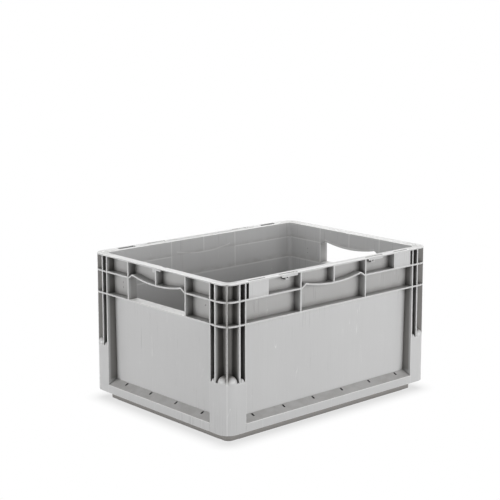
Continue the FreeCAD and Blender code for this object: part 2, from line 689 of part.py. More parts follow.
def skirt_solid(side, name, along_x):
    """The ledge and skirt of one side, with drain slots and the webs under the ledge."""
    bar = doc.addObject("Part::Extrusion", f"{side}_ledge_bar")
    bar.Base = skirt_profile(f"{side}_ledge_section", along_x)
    bar.DirMode = "Custom"
    bar.Dir = FreeCAD.Vector(1, 0, 0) if along_x else FreeCAD.Vector(0, -1, 0)
    bar.Solid = True
    bind(bar, LengthFwd=f"2 * {POST_X if along_x else POST_Y}")
    outer = HALF_Y if along_x else HALF_X
    reach = size("crate_length" if along_x else "crate_width") / 2 - size("post_reach")
    pairs = int((reach - size("drain_width")) / size("drain_pitch") + 0.5)
    slots, webs = [], []
    deep = tuple(f"-{outer} + dims.drain_inset {sign} dims.drain_length / 2" for sign in "-+")
    web_deep = (f"-{outer} + dims.wall / 2", f"-{outer} + dims.foot_inset + {OVERRUN}")
    for index in range(-pairs, pairs):
        place = f"({index} + 0.5) * dims.drain_pitch"
        wide = (f"{place} - dims.drain_width / 2", f"{place} + dims.drain_width / 2")
        tall = ("dims.skirt_base", f"dims.ledge_front + dims.ledge_rise + {OVERRUN}")
        spans = (wide, deep) if along_x else (deep, wide)
        slots.append(span_box(f"{side}_drain_{index + pairs}", *spans, tall))
    for index in range(-pairs + 1, pairs):
        place = f"{index} * dims.drain_pitch"
        wide = (f"{place} - dims.lattice_rib / 2", f"{place} + dims.lattice_rib / 2")
        tall = ("dims.skirt_base + dims.wall", "dims.ledge_front - dims.wall / 2")
        spans = (wide, web_deep) if along_x else (web_deep, wide)
        webs.append(span_box(f"{side}_web_{index + pairs}", *spans, tall))
    drained = cut(f"{side}_ledge_drained", bar, *slots)
    return cut(name, fuse(f"{side}_ledge_webbed", drained, *webs), tub_outer)


# ---------------------------------------------------------------- assembly
front_grip, _ = grip("front", "front_grip", False)
left_handle, left_hand_hole = grip("left", "left_handle", True)
front_wall = common("front_wall", tub_shell, wall_region("front_region", False))
left_wall = left_wall_solid(left_hand_hole)
back_right = corner_post_solid()
back_left = mirror("corner_post_back_left", back_right, X_AXIS)
front_right = mirror("corner_post_front_right", back_right, Y_AXIS)
front_left = mirror("corner_post_front_left", back_left, Y_AXIS)
pad = label_pad_solid()
pad_back = mirror("label_pad_back_left", pad, Y_AXIS)
front_skirt = skirt_solid("front", "front_skirt", True)
left_skirt = skirt_solid("left", "left_skirt", False)

NODES = [
    floor_panel,
    underside_ribs(),
    front_wall,
    mirror("back_wall", front_wall, Y_AXIS),
    left_wall,
    mirror("right_end_wall", left_wall, X_AXIS),
    front_left,
    front_right,
    back_left,
    back_right,
    top_rim_solid(),
    band_ribs("upper_band_ribs", UPPER_BASE, GRIP_EDGE),
    band_ribs("lower_band_ribs", LOWER_BASE, None),
    front_grip,
    mirror("back_grip", front_grip, Y_AXIS),
    left_handle,
    mirror("right_handle", left_handle, X_AXIS),
    pad,
    mirror("label_pad_front_right", pad, X_AXIS),
    pad_back,
    mirror("label_pad_back_right", pad_back, X_AXIS),
    front_skirt,
    mirror("back_skirt", front_skirt, Y_AXIS),
    left_skirt,
    mirror("right_skirt", left_skirt, X_AXIS),
]
doc.recompute()

# ---------------------------------------------------------------- checks and export
for item in doc.Objects:
    if "Invalid" in item.State or "Error" in item.State:
        raise RuntimeError(f"{item.Name} failed: {item.State}")

os.makedirs("parts", exist_ok=True)
for node in NODES:
    node.Label = node.Name
    shape = node.Shape
    if shape.isNull() or not shape.isValid() or not shape.Solids:
        raise RuntimeError(f"{node.Label} has no valid solid")
    shape.exportStep(f"parts/{node.Label}.step")
    print(f"{node.Label}: {len(shape.Solids)} solid(s), {shape.Volume / 1000:.1f} cm3")
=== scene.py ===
"""Looks of a rigid light grey stacking crate, 400 x 300 x 220 mm, moulded in one piece of polypropylene.

Each piece is a copy of its construction node, and most of its free sharp edges get the small rounding that
moulded edges have; the tub keeps its edges crisp. One plastic finish runs across all the pieces without a
break, because it is laid out in the crate's own coordinates: metres, with +X along the long side, +Y to the
back and +Z up from the foot.
"""

import logging
import math
from dataclasses import dataclass, field
from enum import Enum
from typing import Any

import bmesh
import bpy
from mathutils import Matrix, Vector
from mathutils.bvhtree import BVHTree


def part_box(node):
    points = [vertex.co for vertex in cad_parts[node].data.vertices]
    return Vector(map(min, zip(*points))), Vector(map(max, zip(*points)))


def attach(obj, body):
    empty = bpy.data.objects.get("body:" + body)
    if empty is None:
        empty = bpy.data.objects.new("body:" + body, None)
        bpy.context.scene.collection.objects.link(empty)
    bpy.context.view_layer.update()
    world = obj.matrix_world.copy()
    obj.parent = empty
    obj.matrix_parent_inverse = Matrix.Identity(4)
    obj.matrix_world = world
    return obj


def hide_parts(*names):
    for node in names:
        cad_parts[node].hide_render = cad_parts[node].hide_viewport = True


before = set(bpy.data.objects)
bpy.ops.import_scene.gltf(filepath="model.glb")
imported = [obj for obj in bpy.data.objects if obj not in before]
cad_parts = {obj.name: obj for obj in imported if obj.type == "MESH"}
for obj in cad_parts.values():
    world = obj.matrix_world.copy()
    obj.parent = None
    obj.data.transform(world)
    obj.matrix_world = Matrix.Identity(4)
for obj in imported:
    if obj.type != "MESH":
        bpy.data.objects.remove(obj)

LOG = logging.getLogger("crate")
MM = 0.001
MERGE = 0.001 * MM
BODY = "root"
# the mark on the rounded edges, which the finish paints pale: partly scuffing, partly painted highlight
ROUNDED_EDGE = "rounded_edge"
FACE_STRENGTH = "__mod_weightednormals_faceweight"
STRONG, WEAK = 16384, -16384
CRISP = math.radians(181.0)
WHITE = (1.0, 1.0, 1.0, 1.0)

Colour = tuple[float, float, float]


@dataclass(frozen=True)
class NoiseLayer:
    """One layer of noise: features per metre, octaves, an offset to another patch, and a stretch by axis."""

    scale: float
    detail: float
    shift: float = 0.0
    stretch: tuple[float, float, float] = (1.0, 1.0, 1.0)


# ---------------------------------------------------------------- shader building
class Value:
    """A number socket that can be used in ordinary arithmetic; each operation adds a Math node."""

    def __init__(self, sheet: "NodeSheet", socket: Any) -> None:
        """Wraps an output socket of a node tree.

        Args:
            sheet: the sheet that owns the tree.
            socket: an output socket, or a plain number.
        """
        self.sheet = sheet
        self.socket = socket

    def _math(self, operation: str, *others: Any, clamp: bool = False) -> "Value":
        """Adds a Math node that starts from this value.

        Args:
            operation: the Math node's operation.
            others: further operands, as values or numbers.
            clamp: whether the result is held between 0 and 1.

        Returns:
            The node's result.
        """
        inputs = dict(enumerate((self, *others)))
        settings = {"operation": operation, "use_clamp": clamp}
        return self.sheet.add("ShaderNodeMath", settings, inputs).value()

    def __add__(self, other: Any) -> "Value":
        """Sum."""
        return self._math("ADD", other)

    __radd__ = __add__

    def __sub__(self, other: Any) -> "Value":
        """Difference."""
        return self._math("SUBTRACT", other)

    def __rsub__(self, other: Any) -> "Value":
        """Difference from a number."""
        return Value(self.sheet, other)._math("SUBTRACT", self)

    def __mul__(self, other: Any) -> "Value":
        """Product."""
        return self._math("MULTIPLY", other)

    __rmul__ = __mul__

    def __truediv__(self, other: Any) -> "Value":
        """Quotient."""
        return self._math("DIVIDE", other)

    def __abs__(self) -> "Value":
        """Absolute value."""
        return self._math("ABSOLUTE")

    def __gt__(self, other: Any) -> "Value":
        """One where this value is the greater."""
        return self._math("GREATER_THAN", other)

    def __lt__(self, other: Any) -> "Value":
        """One where this value is the less."""
        return self._math("LESS_THAN", other)

    def most(self, other: Any) -> "Value":
        """The greater of two values."""
        return self._math("MAXIMUM", other)

    def clamped(self) -> "Value":
        """This value held between 0 and 1."""
        return self._math("ADD", 0.0, clamp=True)

    def ramp(self, low: float, high: float) -> "Value":
        """A smooth step from 0 at one value to 1 at another.

        Args:
            low: where the step starts.
            high: where it ends; it may lie below the start.

        Returns:
            The step.
        """
        settings = {"interpolation_type": "SMOOTHSTEP", "clamp": True}
        inputs = {0: self, 1: low, 2: high, 3: 0.0, 4: 1.0}
        if low > high:
            inputs = {0: self, 1: high, 2: low, 3: 1.0, 4: 0.0}
        return self.sheet.add("ShaderNodeMapRange", settings, inputs).value()

    def near(self, centre: Any, half: float, soft: float) -> "Value":
        """One close to a centre value, falling smoothly to 0.

        Args:
            centre: the middle, as a value or a number.
            half: half the width that stays at 1.
            soft: the width over which it falls.

        Returns:
            The band.
        """
        return abs(self - centre).ramp(half + soft, half)


class NodeHandle:
    """One node of a sheet, with short ways to its outputs."""

    def __init__(self, sheet: "NodeSheet", node: bpy.types.Node) -> None:
        """Keeps the node and its sheet."""
        self.sheet = sheet
        self.node = node

    def value(self, output: int | str = 0) -> Value:
        """An output as a number that arithmetic works on."""
        return Value(self.sheet, self.node.outputs[output])

    def out(self, output: int | str = 0) -> bpy.types.NodeSocket:
        """An output socket."""
        return self.node.outputs[output]


class NodeSheet:
    """A material's or a world's node tree, cleared and ready to be filled."""

    def __init__(self, owner: bpy.types.Material | bpy.types.World) -> None:
        """Empties the owner's node tree."""
        owner.use_nodes = True
        self.tree = owner.node_tree
        self.tree.nodes.clear()

    def add(
        self,
        kind: str,
        settings: dict[str, Any] | None = None,
        inputs: dict[Any, Any] | None = None,
    ) -> NodeHandle:
        """Adds a node.

        Args:
            kind: the node's type name.
            settings: attributes, which are set before the sockets.
            inputs: socket name or index to a Value, a socket, a number or a tuple.

        Returns:
            The new node.
        """
        node = self.tree.nodes.new(kind)
        for name, setting in (settings or {}).items():
            setattr(node, name, setting)
        for key, given in (inputs or {}).items():
            source = given.socket if isinstance(given, Value) else given
            if isinstance(source, bpy.types.NodeSocket):
                self.tree.links.new(source, node.inputs[key])
            else:
                node.inputs[key].default_value = source
        return NodeHandle(self, node)

    def noise(self, place: Any, layer: NoiseLayer) -> Value:
        """Smooth noise between 0 and 1.

        Args:
            place: the coordinates.
            layer: how fine and how stretched the noise is.

        Returns:
            The noise.
        """
        moved = {"Vector": place, "Scale": layer.stretch, "Location": (layer.shift,) * 3}
        mapping = self.add("ShaderNodeMapping", None, moved)
        inputs = {"Vector": mapping.out(), "Scale": layer.scale, "Detail": layer.detail, "Roughness": 0.55}
        return self.add("ShaderNodeTexNoise", {"noise_dimensions": "3D"}, inputs).value("Fac")

    def mix_colour(self, amount: Any, first: Any, second: Any) -> bpy.types.NodeSocket:
        """Blends two colours.

        Args:
            amount: how much of the second, from 0 to 1.
            first: colour at 0.
            second: colour at 1.

        Returns:
            The blended colour's socket.
        """
        ends = [(*end, 1.0) if isinstance(end, tuple) else end for end in (first, second)]
        inputs = {0: amount, 6: ends[0], 7: ends[1]}
        return self.add("ShaderNodeMix", {"data_type": "RGBA"}, inputs).out(2)

    def open_to_background(self) -> Value:
        """One for the rays that show the background: seen directly, mirrored or through glass."""
        rays = self.add("ShaderNodeLightPath")
        direct, mirrored = rays.value("Is Camera Ray"), rays.value("Is Glossy Ray")
        return direct.most(mirrored).most(rays.value("Is Transmission Ray"))


# ---------------------------------------------------------------- finishes
@dataclass(frozen=True)
class CrateSizes:
    """The moulding's sizes that the finish follows: insets from the rim's outside, heights from the foot."""

    half_length: float = 200 * MM
    half_width: float = 150 * MM
    height: float = 220 * MM
    wall_inset: float = 15 * MM
    wall_lean: float = 3.2 * MM
    tub_corner_inset: float = 22 * MM
    tub_corner_radius: float = 7.9 * MM
    post_reach: float = 35.2 * MM
    post_foot_top: float = 84 * MM
    handle_half: float = 64.5 * MM
    grip_half: float = 64.3 * MM
    sill_height: float = 162 * MM
    lower_rib: float = 162.5 * MM
    lower_rib_top: float = 163 * MM
    upper_rib: float = 195.5 * MM
    upper_rib_top: float = 196 * MM
    arch_crown: float = 195.4 * MM
    arch_curve: float = 2.13
    arch_half: float = 54 * MM
    ledge_top: float = 30 * MM
    ledge_inset: float = 1.5 * MM
    drain_height: float = 28 * MM
    drain_inset: float = 11.3 * MM
    foot_band: float = 13.5 * MM


@dataclass(frozen=True)
class SurfacePlace:
    """Where a point lies, from the crate's middle and above its foot, and how far its face looks up."""

    across: Value
    along: Value
    height: Value
    upward: Value


@dataclass(frozen=True)
class GreyPolypropylene:
    """Light grey moulded polypropylene in use: scuffed and dirty, with painted shade in its cells, slots,
    tightest corners, drain holes, on its ledge and on its foot, and painted highlight on its edges and top
    faces.
    """

    crate: CrateSizes = CrateSizes()
    grey: Colour = (0.46, 0.46, 0.46)
    pale: Colour = (0.56, 0.56, 0.56)
    # pale colour of sink marks, scratches and scuffed edges, also used for painted highlight on edges and
    # top faces
    pale_marks_and_highlight: Colour = (0.82, 0.82, 0.81)
    # dirt colour, also used for painted shade on the ledge and the foot
    grime_and_shade: Colour = (0.25, 0.238, 0.225)
    dark_speck: Colour = (0.15, 0.14, 0.13)
    # painted shade colour for the walls of the drain holes
    hole_shade: Colour = (0.02, 0.02, 0.02)
    # painted shade colour for the band's cells and the posts' slots
    recess_shade: Colour = (0.16, 0.152, 0.142)
    # painted shade colour for the slots and the tightest corners
    crevice_shade: Colour = (0.075, 0.073, 0.07)
    crevice_reach: float = 14 * MM
    base_tone: float = 0.4
    roughness: float = 0.32
    cloud: NoiseLayer = NoiseLayer(7.0, 4.0)
    mottle: NoiseLayer = NoiseLayer(45.0, 3.0, 3.1)
    streak: NoiseLayer = NoiseLayer(1.0, 4.0, 1.7, (420.0, 420.0, 9.0))
    fine_streak: NoiseLayer = NoiseLayer(1.0, 2.0, 5.3, (1500.0, 1500.0, 22.0))
    speck: NoiseLayer = NoiseLayer(520.0, 1.0, 9.0)
    speck_patch: NoiseLayer = NoiseLayer(16.0, 2.0, 4.4)
    chipping: NoiseLayer = NoiseLayer(190.0, 3.0, 2.2)
    grain: NoiseLayer = NoiseLayer(1900.0, 2.0, 6.0)
    waves: NoiseLayer = NoiseLayer(11.0, 1.0, 8.0)
    scratch: NoiseLayer = NoiseLayer(1.0, 1.0, 12.0, (95.0, 95.0, 5.0))
    scratch_patch: NoiseLayer = NoiseLayer(30.0, 2.0, 21.0)
    dust: NoiseLayer = NoiseLayer(60.0, 4.0, 31.0, (1.0, 1.0, 2.0))

    def material(self) -> bpy.types.Material:
        """Builds the finish.

        Returns:
            The material.
        """
        made = bpy.data.materials.new("grey_polypropylene_finish")
        sheet = NodeSheet(made)
        place = sheet.add("ShaderNodeTexCoord").out("Object")
        axes = sheet.add("ShaderNodeSeparateXYZ", None, {0: place})
        normal = sheet.add("ShaderNodeNewGeometry").out("Normal")
        upward = sheet.add("ShaderNodeSeparateXYZ", None, {0: normal}).value(2)
        at = SurfacePlace(abs(axes.value(0)), abs(axes.value(1)), axes.value(2), upward)

        # slow changes of tone, and fine upright streaks where crates rub past each other
        cloud = sheet.noise(place, self.cloud) - 0.5
        mottle = sheet.noise(place, self.mottle) - 0.5
        streak = sheet.noise(place, self.streak) - 0.5
        fine_streak = sheet.noise(place, self.fine_streak) - 0.5
        tone = cloud * 0.5 + mottle * 0.03 + streak * 0.3 + fine_streak * 0.16
        colour = sheet.mix_colour((tone + self.base_tone).clamped(), self.grey, self.pale)

        # sink marks of the outside ribs, which show through as pale lines inside, and pale scratches
        sink = self._sink_marks(at)
        colour = sheet.mix_colour(sink * 0.34, colour, self.pale_marks_and_highlight)
        scratches = self._scratches(sheet, place)
        colour = sheet.mix_colour(scratches * 0.5, colour, self.pale_marks_and_highlight)

        # dirt and stains above the ribs and scattered specks; painted shade on the ledge, on the foot, in
        # the cells and slots, in the tightest corners and in the drain holes; pale edges, partly scuffs and
        # partly painted highlight
        grime_and_shade = self._grime_and_shade(sheet, place, at)
        # dirt above the ribs, and painted shade on the ledge and the foot
        colour = sheet.mix_colour(grime_and_shade, colour, self.grime_and_shade)
        # painted shade in the band's cells and the posts' slots
        colour = sheet.mix_colour(self._recess_shade(at), colour, self.recess_shade)
        colour = sheet.mix_colour(self._specks(sheet, place), colour, self.dark_speck)
        # painted shade: the slots and tightest corners darken where they see little sky
        colour = sheet.mix_colour(self._crevice_shade(sheet), colour, self.crevice_shade)
        # painted shade in the drain holes
        colour = sheet.mix_colour(self._drain_shade(at) * 0.97, colour, self.hole_shade)
        # pale edges, partly scuffing and partly painted highlight, and painted highlight on the tops of the
        # rim and sills
        colour = sheet.mix_colour(self._worn_edges_and_highlights(sheet, place, at), colour, self.pale_marks_and_highlight)

        roughness = cloud * 0.18 + streak * 0.2 + grime_and_shade * 0.25 + scratches * 0.12 + self.roughness
        relief = sheet.noise(place, self.grain) * 0.012 + sheet.noise(place, self.waves) * 1.5 - sink * 0.06
        bump = sheet.add("ShaderNodeBump", None, {"Strength": 0.5, "Distance": 1 * MM, "Height": relief})
        surface = {
            "Base Color": colour,
            "Roughness": roughness.clamped(),
            "IOR": 1.49,
            "Specular IOR Level": 0.5,
            "Normal": bump.out(),
        }
        shader = sheet.add("ShaderNodeBsdfPrincipled", None, surface)
        sheet.add("ShaderNodeOutputMaterial", None, {"Surface": shader.out()})
        return made

    def _lean(self, at: SurfacePlace) -> Value:
        """How far the tapered walls have drawn in at a height, from where they meet the rim."""
        return (1.0 - at.height / self.crate.height) * self.crate.wall_lean

    def _sink_marks(self, at: SurfacePlace) -> Value:
        """Where the outside ribs show through on the inside of the walls.

        Args:
            at: the place on the surface.

        Returns:
            A mask that is 1 on the marks.
        """
        crate, height, lean = self.crate, at.height, self._lean(at)
        inner_long = (at.along + lean).near(crate.half_width - crate.wall_inset, 0.4 * MM, 0.6 * MM)
        inner_short = (at.across + lean).near(crate.half_length - crate.wall_inset, 0.4 * MM, 0.6 * MM)

        def pattern(side: Value) -> Value:
            """Rib lines over a wall that is measured along one side."""
            lower = height.near(crate.lower_rib, 0.6 * MM, 1.2 * MM)
            beyond_arch = side.ramp(crate.handle_half - 0.5 * MM, crate.handle_half + 0.5 * MM)
            upper = height.near(crate.upper_rib, 0.4 * MM, 1 * MM) * beyond_arch
            under_arch = side.ramp(crate.arch_half + 0.5 * MM, crate.arch_half - 0.5 * MM)
            curve = side * side * crate.arch_curve + crate.arch_crown
            arch = height.near(curve, 0.4 * MM, 1.2 * MM) * under_arch
            over_upper = height.ramp(crate.upper_rib - 0.5 * MM, crate.upper_rib + 1.5 * MM)
            over_lower = height.ramp(crate.lower_rib - 0.5 * MM, crate.lower_rib + 1.5 * MM)
            middle = side.near(0.0, 0.5 * MM, 1 * MM) * over_upper
            ends = side.near(crate.grip_half, 0.5 * MM, 1 * MM) * over_lower
            return lower.most(upper).most(arch).most(middle).most(ends)

        return (inner_long * pattern(at.across)).most(inner_short * pattern(at.along))

    def _scratches(self, sheet: NodeSheet, place: Any) -> Value:
        """Thin pale upright lines.

        Args:
            sheet: where the nodes go.
            place: the coordinates.

        Returns:
            A mask that is 1 on the scratches.
        """
        upright = sheet.noise(place, self.scratch).near(0.5, 0.0006, 0.0022)
        return upright * sheet.noise(place, self.scratch_patch).ramp(0.5, 0.62)

    def _specks(self, sheet: NodeSheet, place: Any) -> Value:
        """Small dark specks that lie in scattered patches."""
        speck = sheet.noise(place, self.speck).ramp(0.76, 0.79)
        return speck * sheet.noise(place, self.speck_patch).ramp(0.56, 0.7) * 0.5

    def _crevice_shade(self, sheet: NodeSheet) -> Value:
        """Painted shade in the slots and the tightest corners, by how much of the sky they see."""
        reach = {"Distance": self.crevice_reach}
        open_sky = sheet.add("ShaderNodeAmbientOcclusion", {"samples": 8}, reach).value("AO")
        return open_sky.ramp(0.8, 0.2) * 0.95

    def _worn_edges_and_highlights(self, sheet: NodeSheet, place: Any, at: SurfacePlace) -> Value:
        """Rounded edges, which scuff pale and also carry a painted highlight, a faint pale line down each
        post's corner, and the up-facing tops of the rim and of the hand holes' sills, painted pale as an
        uneven highlight.

        Args:
            sheet: where the nodes go.
            place: the coordinates.
            at: the place on the surface.

        Returns:
            How much of the pale colour shows.
        """
        crate, height = self.crate, at.height
        # rounded edges painted pale: partly scuffing, partly painted highlight
        rounded_edge_mark = sheet.add("ShaderNodeAttribute", {"attribute_name": ROUNDED_EDGE}).value("Fac")
        chipped = sheet.noise(place, self.chipping).ramp(0.2, 0.55)
        ledge = height.near(crate.ledge_top, 5.6 * MM, 0.2 * MM) * self._inside_skirt(at)
        edge = rounded_edge_mark * (chipped * 0.35 + 0.6) * (1.0 - ledge)
        edge = edge.most(self._corner_line(at) * 0.4)
        in_handle = (at.along < crate.handle_half) * (at.across > crate.half_length - 20 * MM)
        sill = height.near(crate.sill_height, 2.4 * MM, 0.4 * MM) * in_handle * 1.4
        # painted highlight on the up-facing tops of the rim and of the hand holes' sills
        rim_top = height.ramp(crate.height - 3.5 * MM, crate.height - 1.5 * MM)
        top_highlight = rim_top.most(sill) * (chipped * 0.3 + 0.3)
        return edge.most(at.upward.ramp(0.5, 0.9) * top_highlight)

    def _inside_skirt(self, at: SurfacePlace) -> Value:
        """One inside the skirt's outer faces."""
        within_ends = at.across < self.crate.half_length - self.crate.ledge_inset
        return within_ends * (at.along < self.crate.half_width - self.crate.ledge_inset)

    def _grime_and_shade(self, sheet: NodeSheet, place: Any, at: SurfacePlace) -> Value:
        """Dust and stains just above the band's ribs; painted shade, with some dust, on low up-facing faces
        such as the ledge; painted shade on the foot below the skirt.

        Args:
            sheet: where the nodes go.
            place: the coordinates.
            at: the place on the surface.

        Returns:
            How much of the grime colour shows.
        """
        height = at.height
        lower, upper, foot_band = self.crate.lower_rib_top, self.crate.upper_rib_top, self.crate.foot_band
        uneven = sheet.noise(place, self.dust).ramp(0.35, 0.68)
        over_lower = height.ramp(lower, lower + 0.6 * MM) * height.ramp(lower + 11.5 * MM, lower + 1 * MM)
        over_upper = height.ramp(upper, upper + 0.6 * MM) * height.ramp(upper + 7.5 * MM, upper + 1 * MM)
        above = (over_lower * 0.36 + over_upper * 0.3) * (uneven * 0.75 + 0.25)
        # painted shade, with some dust, on the low up-facing faces such as the ledge
        ledge_shade_and_dust = at.upward.ramp(0.3, 0.8) * height.ramp(60 * MM, 50 * MM) * (uneven * 0.2 + 0.36)
        # painted shade on the foot, which sits back under the skirt
        foot = height.ramp(foot_band + 0.2 * MM, foot_band - 0.2 * MM) * 0.95
        return above.most(ledge_shade_and_dust).most(foot)

    def _recess_shade(self, at: SurfacePlace) -> Value:
        """Painted shade in the cells between the band's ribs and in the slots of the posts, darker than the
        open faces.

        Args:
            at: the place on the surface.

        Returns:
            How much of the recess colour shows.
        """
        crate, across, along, height = self.crate, at.across, at.along, at.height
        lean = self._lean(at)
        beyond_x = (across + lean - (crate.half_length - crate.tub_corner_inset)).most(0.0)
        beyond_y = (along + lean - (crate.half_width - crate.tub_corner_inset)).most(0.0)
        outside_tub = beyond_x * beyond_x + beyond_y * beyond_y > crate.tub_corner_radius**2
        behind_long = along.ramp(crate.half_width - 1.5 * MM, crate.half_width - 6 * MM)
        behind_short = across.ramp(crate.half_length - 1.5 * MM, crate.half_length - 6 * MM)
        over_rib = height.ramp(crate.lower_rib - 2.5 * MM, crate.lower_rib)
        under_rim = height.ramp(crate.height - 5.5 * MM, crate.height - 8 * MM)
        post_x, post_y = crate.half_length - crate.post_reach, crate.half_width - crate.post_reach
        side = across.near(post_x, 1.2 * MM, 0.4 * MM).most(along.near(post_y, 1.2 * MM, 0.4 * MM))
        flank = side * height.ramp(crate.ledge_top, crate.ledge_top + 6 * MM)
        over_foot = height.ramp(crate.post_foot_top, crate.post_foot_top + 4 * MM)
        post = (across > post_x - 1.2 * MM) * (along > post_y - 1.2 * MM) * over_foot.most(flank) * 0.85
        return outside_tub * behind_long * behind_short * (over_rib * under_rim * 0.4).most(post)

    def _drain_shade(self, at: SurfacePlace) -> Value:
        """Painted shade on the walls of the drain holes through the ledge.

        Args:
            at: the place on the surface.

        Returns:
            A mask that is 1 in the holes.
        """
        crate = self.crate
        end_hole = at.across.near(crate.half_length - crate.drain_inset, 2.6 * MM, 0.2 * MM)
        long_hole = at.along.near(crate.half_width - crate.drain_inset, 2.6 * MM, 0.2 * MM)
        between_posts = (end_hole * (at.along < 110 * MM)).most(long_hole * (at.across < 160 * MM))
        return between_posts * at.height.near(crate.drain_height, 5.5 * MM, 0.3 * MM) * (at.upward < 0.86)

    def _corner_line(self, at: SurfacePlace) -> Value:
        """A faint pale line down the outside corner of each post."""
        crate = self.crate
        slant = (at.across - at.along).near(crate.half_length - crate.half_width, 0.3 * MM, 0.5 * MM)
        outside = at.across.ramp(crate.half_length - 14 * MM, crate.half_length - 12 * MM)
        return slant * outside * at.height.ramp(crate.post_foot_top + 8 * MM, crate.post_foot_top + 2 * MM)


@dataclass(frozen=True)
class StudioFloor:
    """A matt white sweep that keeps the crate's shadow and runs out to plain white."""

    white: Colour = (0.55, 0.55, 0.55)
    footprint: tuple[float, float, float] = (0.184, 0.134, 1.0)
    fade_start: float = 0.0
    fade_end: float = 0.04
    least_white: float = 0.68

    def material(self) -> bpy.types.Material:
        """Builds the finish.

        Returns:
            The material.
        """
        made = bpy.data.materials.new("studio_floor_finish")
        sheet = NodeSheet(made)
        place = sheet.add("ShaderNodeTexCoord").out("Object")
        spread = sheet.add("ShaderNodeVectorMath", {"operation": "ABSOLUTE"}, {0: place})
        reach = {0: spread.out(), 1: self.footprint}
        past = sheet.add("ShaderNodeVectorMath", {"operation": "SUBTRACT"}, reach)
        not_under = {0: past.out(), 1: (0.0, 0.0, 0.0)}
        outside = sheet.add("ShaderNodeVectorMath", {"operation": "MAXIMUM"}, not_under)
        length = sheet.add("ShaderNodeVectorMath", {"operation": "LENGTH"}, {0: outside.out()})
        distance = length.value("Value")
        matt = sheet.add("ShaderNodeBsdfDiffuse", None, {"Color": (*self.white, 1.0)})
        plain = sheet.add("ShaderNodeEmission", None, {"Color": WHITE, "Strength": 1.0})
        fade = distance.ramp(self.fade_start, self.fade_end)
        amount = sheet.open_to_background() * (fade * (1.0 - self.least_white) + self.least_white)
        mixed = sheet.add("ShaderNodeMixShader", None, {0: amount, 1: matt.out(), 2: plain.out()})
        sheet.add("ShaderNodeOutputMaterial", None, {"Surface": mixed.out()})
        return made


# ---------------------------------------------------------------- softened copies of the moulding
@dataclass
class Moulding:
    """A construction node with its loose triangles merged, ready for contact tests."""

    name: str
    mesh: bmesh.types.BMesh = field(init=False)
    tree: BVHTree = field(init=False)
    low: Vector = field(init=False)
    high: Vector = field(init=False)

    def __post_init__(self) -> None:
        """Copies and merges the node."""
        self.mesh = bmesh.new()
        self.mesh.from_mesh(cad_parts[self.name].data)
        bmesh.ops.remove_doubles(self.mesh, verts=self.mesh.verts, dist=2 * MERGE)
        bmesh.ops.dissolve_degenerate(self.mesh, edges=self.mesh.edges, dist=MERGE)
        self.tree = BVHTree.FromBMesh(self.mesh)
        low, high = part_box(self.name)
        self.low, self.high = Vector(low), Vector(high)

    def holds(self, point: Vector) -> bool:
        """Whether a point lies inside this part of the moulding."""
        if any(point[axis] < self.low[axis] or point[axis] > self.high[axis] for axis in range(3)):
            return False
        nearest, normal, _, _ = self.tree.find_nearest(point)
        return nearest is not None and (point - nearest).dot(normal) < 0

    def touches_box(self, other: "Moulding", gap: float) -> bool:
        """Whether two parts' boxes come within a gap of each other."""
        return all(
            self.low[axis] - gap <= other.high[axis] and other.low[axis] - gap <= self.high[axis]
            for axis in range(3)
        )


